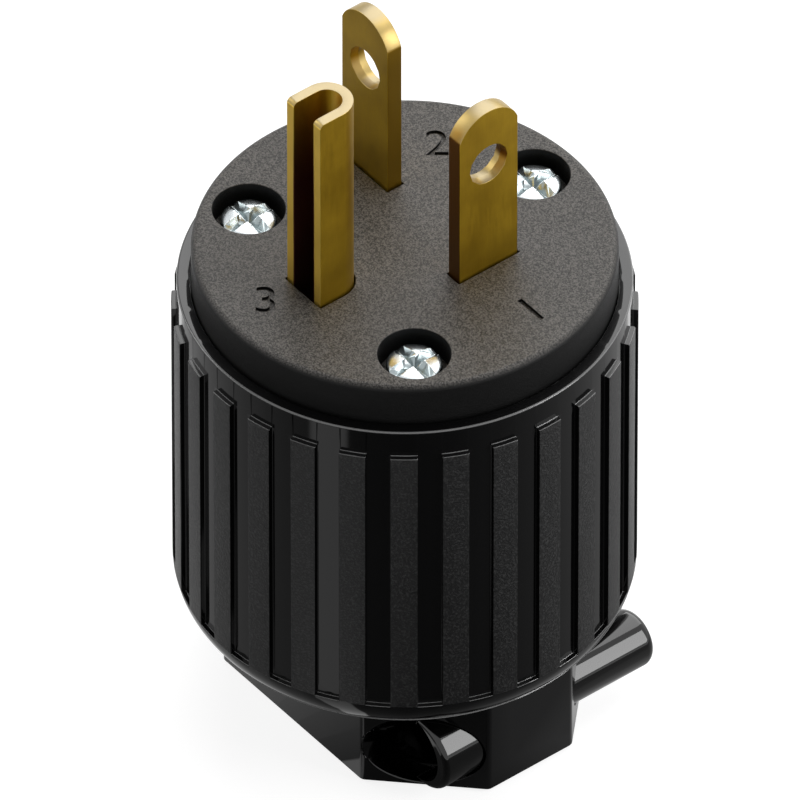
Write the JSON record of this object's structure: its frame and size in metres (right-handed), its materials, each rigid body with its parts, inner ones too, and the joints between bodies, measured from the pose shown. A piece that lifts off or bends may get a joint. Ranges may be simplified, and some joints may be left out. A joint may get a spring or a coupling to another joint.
{
  "type": "straight-blade power plug",
  "caption": "Cord-end power plug with flat blades at right angles, a folded ground pin, a ribbed black shell and a screw-drawn jaw clamp for the cord.",
  "frame": {"origin": "middle of the flat cord end of the clamp housing", "axes": "+Z along the plug towards the blade tips; +Y from the ground pin towards the line of the blades; +X from the blade that lies across to the blade that stands along Y"},
  "size_m": [0.0404, 0.0404, 0.0704],
  "materials": {
    "shell_black": "glossy nylon, matt rib tops",
    "face_grey": "fine grained nylon",
    "carrier_black": "moulded nylon",
    "brass": "brushed brass",
    "jaw_black": "glossy nylon",
    "zinc_steel": "bright zinc plate",
    "seal_rubber": "soft matt rubber",
    "brass_screw": "turned brass",
    "green_screw": "green dyed plate"
  },
  "bodies": {
    "root": {"shell": "shell_black", "face": "face_grey", "contact_carrier": "carrier_black", "blade_upright": "brass", "blade_cross": "brass", "ground_pin": "brass", "cord_seal": "seal_rubber", "terminal_screw_upright": "brass_screw", "terminal_screw_cross": "brass_screw", "terminal_screw_ground": "green_screw", "wire_clamp_upright": "zinc_steel", "wire_clamp_cross": "zinc_steel", "wire_clamp_ground": "zinc_steel", "face_screw_1": "zinc_steel", "face_screw_2": "zinc_steel", "face_screw_3": "zinc_steel", "insert_1": "brass", "insert_2": "brass", "insert_3": "brass"},
    "front_jaw": {"front_jaw": "jaw_black", "clamp_screw_left": "zinc_steel", "clamp_screw_right": "zinc_steel"},
    "rear_jaw": {"rear_jaw": "jaw_black"}
  },
  "joints": [
    {"name": "front_jaw_slide", "type": "slide", "parent": "root", "child": "front_jaw", "axis": [0, 1, 0], "range_m": [0, 0.003]},
    {"name": "rear_jaw_slide", "type": "slide", "parent": "root", "child": "rear_jaw", "axis": [0, 1, 0], "range_m": [-0.003, 0]}
  ],
  "couplings": [
    {"joint": "rear_jaw_slide", "follows": "front_jaw_slide", "ratio": -1}
  ]
}
